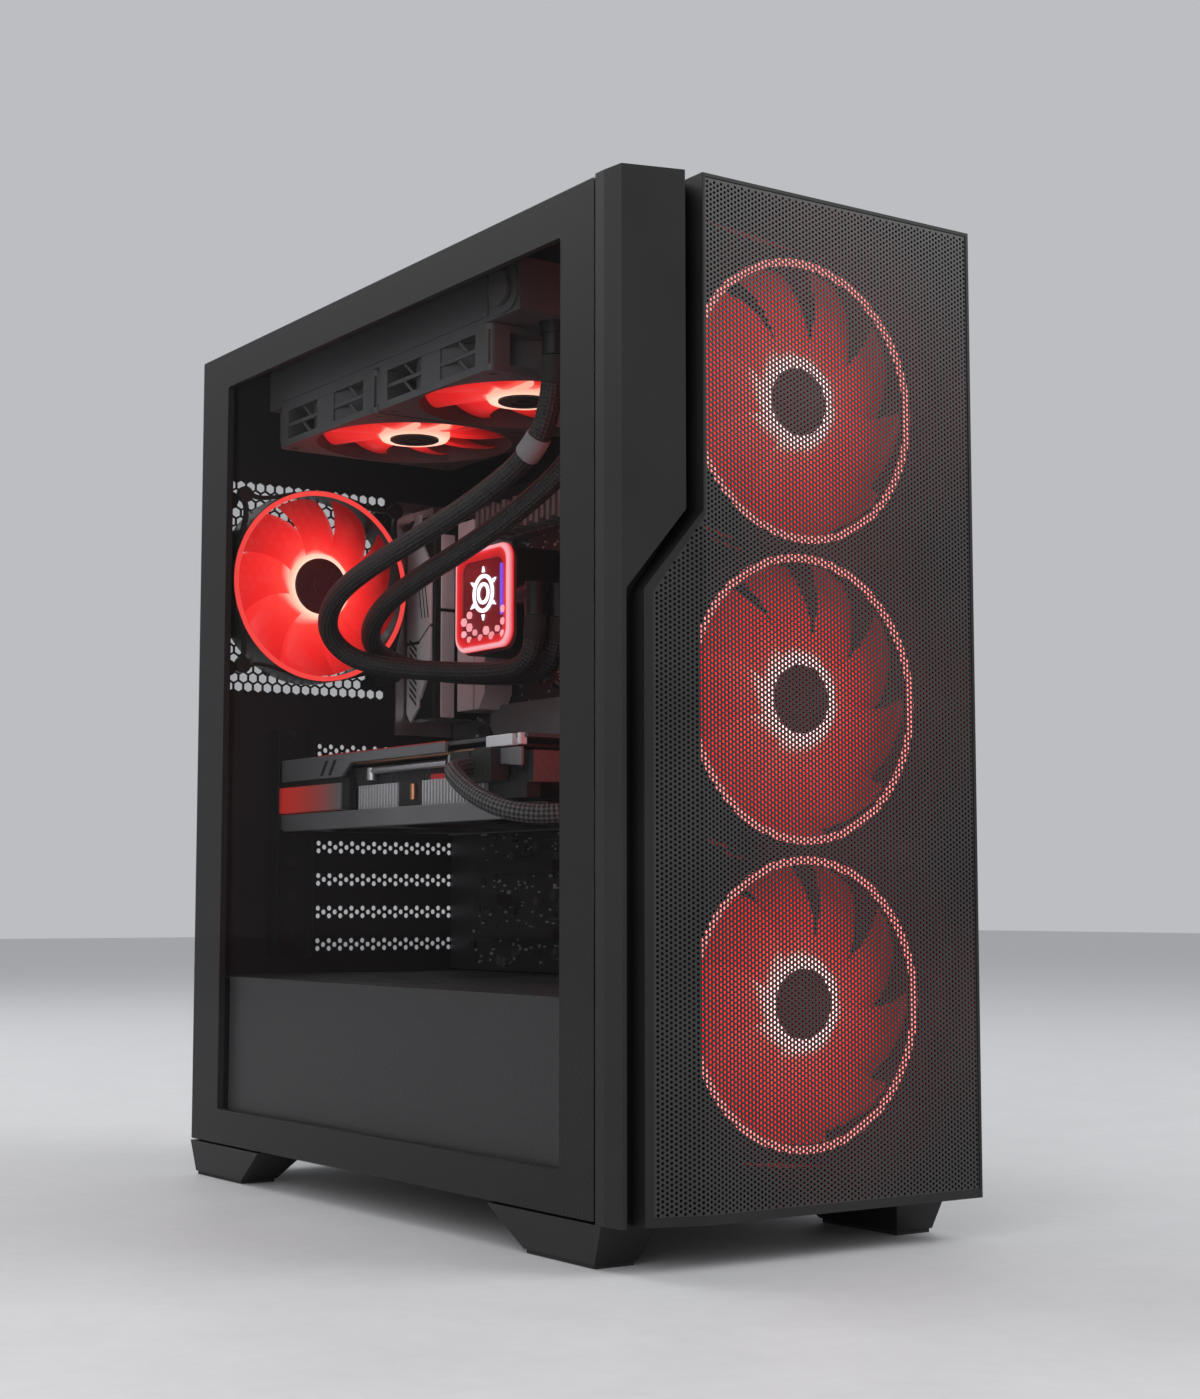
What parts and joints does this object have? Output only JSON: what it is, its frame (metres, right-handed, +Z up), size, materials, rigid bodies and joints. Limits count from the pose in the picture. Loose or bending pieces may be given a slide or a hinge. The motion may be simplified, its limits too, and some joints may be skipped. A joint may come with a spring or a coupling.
{
  "type": "desktop computer tower",
  "caption": "Desktop computer tower with a faceted perforated front, a glass side, lit red fans, a liquid cooler with sleeved tubes, a long graphics card and a shrouded power supply.",
  "frame": {"origin": "centre of the footprint on the floor", "axes": "+Z up along the height, -Y towards the perforated front, -X towards the glass side"},
  "size_m": [0.205, 0.468, 0.495],
  "materials": {
    "steel_black": "satin textured powder coat",
    "plastic_black": "fine textured moulding",
    "mesh_steel": "satin",
    "glass": "polished, tinted",
    "rubber_black": "matte",
    "screw_black": "satin",
    "filter": "woven screen",
    "fan_black": "satin",
    "rotor_red": "translucent, lit",
    "heatsink_silver": "brushed",
    "radiator_black": "satin",
    "pump_black": "gloss",
    "pump_lit": "translucent, lit",
    "tube_sleeve": "braided sleeve",
    "fitting": "satin",
    "board": "lacquered board",
    "port_metal": "satin",
    "card_shell": "satin",
    "supply_steel": "satin",
    "button": "satin"
  },
  "bodies": {
    "chassis": {"rear_panel": "steel_black", "floor_panel": "steel_black", "top_deck": "steel_black", "front_wall": "steel_black", "board_tray": "steel_black", "cable_grommets": "rubber_black", "supply_shroud": "steel_black", "slot_covers": "mesh_steel", "drive_cage": "steel_black", "feet": "plastic_black", "foot_pads": "rubber_black", "front_bezel": "plastic_black", "port_strip": "plastic_black", "front_ports": "port_metal", "supply_case": "supply_steel", "supply_inlet": "plastic_black", "motherboard": "board", "rear_ports": "port_metal", "port_cover_heatsink": "heatsink_silver", "board_heatsinks": "heatsink_silver", "board_slots": "plastic_black", "memory_modules": "heatsink_silver", "radiator": "radiator_black", "tube_fittings": "fitting", "pump_block": "pump_black", "pump_cap": "pump_lit", "intake_fan_frames": "fan_black", "exhaust_fan_frame": "fan_black", "radiator_fan_frames": "fan_black", "card_board": "board", "card_backplate": "heatsink_silver", "card_heatsink": "heatsink_silver", "card_fan_cover": "card_shell", "card_bracket": "port_metal", "card_power_plug": "plastic_black", "card_power_cable": "tube_sleeve", "coolant_tube_1": "tube_sleeve", "coolant_tube_2": "tube_sleeve"},
    "mesh_panel": {"mesh_panel_rim": "plastic_black", "front_mesh": "mesh_steel"},
    "glass_side": {"glass_panel": "glass", "glass_panel_frame": "steel_black", "glass_thumbscrews": "screw_black"},
    "steel_side": {"steel_side_panel": "steel_black", "steel_panel_thumbscrews": "screw_black"},
    "top_filter": {"top_filter": "filter"},
    "supply_filter": {"supply_filter": "filter"},
    "power_button": {"power_button": "button"},
    "reset_button": {"reset_button": "button"},
    "supply_switch": {"supply_switch": "button"},
    "intake_rotor_1": {"intake_fan_rotor_1": "rotor_red"},
    "intake_rotor_2": {"intake_fan_rotor_2": "rotor_red"},
    "intake_rotor_3": {"intake_fan_rotor_3": "rotor_red"},
    "exhaust_rotor": {"exhaust_fan_rotor": "rotor_red"},
    "radiator_rotor_1": {"radiator_fan_rotor_1": "rotor_red"},
    "radiator_rotor_2": {"radiator_fan_rotor_2": "rotor_red"},
    "card_rotor_1": {"card_fan_1": "fan_black"},
    "card_rotor_2": {"card_fan_2": "fan_black"},
    "card_rotor_3": {"card_fan_3": "fan_black"},
    "supply_rotor": {"supply_fan_rotor": "fan_black"}
  },
  "joints": [
    {"name": "mesh_panel_pull", "type": "slide", "parent": "chassis", "child": "mesh_panel", "axis": [0, -1, 0], "range_m": [0, 0.06]},
    {"name": "glass_side_pull", "type": "slide", "parent": "chassis", "child": "glass_side", "axis": [-1, 0, 0], "range_m": [0, 0.12]},
    {"name": "steel_side_pull", "type": "slide", "parent": "chassis", "child": "steel_side", "axis": [0, 1, 0], "range_m": [0, 0.03]},
    {"name": "top_filter_lift", "type": "slide", "parent": "chassis", "child": "top_filter", "axis": [0, 0, 1], "range_m": [0, 0.04]},
    {"name": "supply_filter_pull", "type": "slide", "parent": "chassis", "child": "supply_filter", "axis": [0, 1, 0], "range_m": [0, 0.16]},
    {"name": "power_button_press", "type": "slide", "parent": "chassis", "child": "power_button", "axis": [0, 0, -1], "range_m": [0, 0.0015], "stiffness_N_per_m": 800},
    {"name": "reset_button_press", "type": "slide", "parent": "chassis", "child": "reset_button", "axis": [0, 0, -1], "range_m": [0, 0.0015], "stiffness_N_per_m": 800},
    {"name": "supply_switch_rock", "type": "hinge", "parent": "chassis", "child": "supply_switch", "pos_m": [-0.02, 0.224, 0.0655], "axis": [1, 0, 0], "range_deg": [-16, 0]},
    {"name": "intake_spin_1", "type": "hinge", "parent": "chassis", "child": "intake_rotor_1", "pos_m": [0.014, -0.197, 0.1137], "axis": [0, -1, 0], "continuous": true},
    {"name": "intake_spin_2", "type": "hinge", "parent": "chassis", "child": "intake_rotor_2", "pos_m": [0.014, -0.197, 0.2582], "axis": [0, -1, 0], "continuous": true},
    {"name": "intake_spin_3", "type": "hinge", "parent": "chassis", "child": "intake_rotor_3", "pos_m": [0.014, -0.197, 0.4027], "axis": [0, -1, 0], "continuous": true},
    {"name": "exhaust_spin", "type": "hinge", "parent": "chassis", "child": "exhaust_rotor", "pos_m": [-0.032, 0.2145, 0.358], "axis": [0, -1, 0], "continuous": true},
    {"name": "radiator_spin_1", "type": "hinge", "parent": "chassis", "child": "radiator_rotor_1", "pos_m": [-0.018, -0.01, 0.4465], "axis": [0, 0, -1], "continuous": true},
    {"name": "radiator_spin_2", "type": "hinge", "parent": "chassis", "child": "radiator_rotor_2", "pos_m": [-0.018, 0.112, 0.4465], "axis": [0, 0, -1], "continuous": true},
    {"name": "card_spin_1", "type": "hinge", "parent": "chassis", "child": "card_rotor_1", "pos_m": [0.011, -0.01, 0.2132], "axis": [0, 0, -1], "continuous": true},
    {"name": "card_spin_2", "type": "hinge", "parent": "chassis", "child": "card_rotor_2", "pos_m": [0.011, 0.084, 0.2132], "axis": [0, 0, -1], "continuous": true},
    {"name": "card_spin_3", "type": "hinge", "parent": "chassis", "child": "card_rotor_3", "pos_m": [0.011, 0.178, 0.2132], "axis": [0, 0, -1], "continuous": true},
    {"name": "supply_spin", "type": "hinge", "parent": "chassis", "child": "supply_rotor", "pos_m": [0.003, 0.152, 0.0355], "axis": [0, 0, -1], "continuous": true}
  ]
}
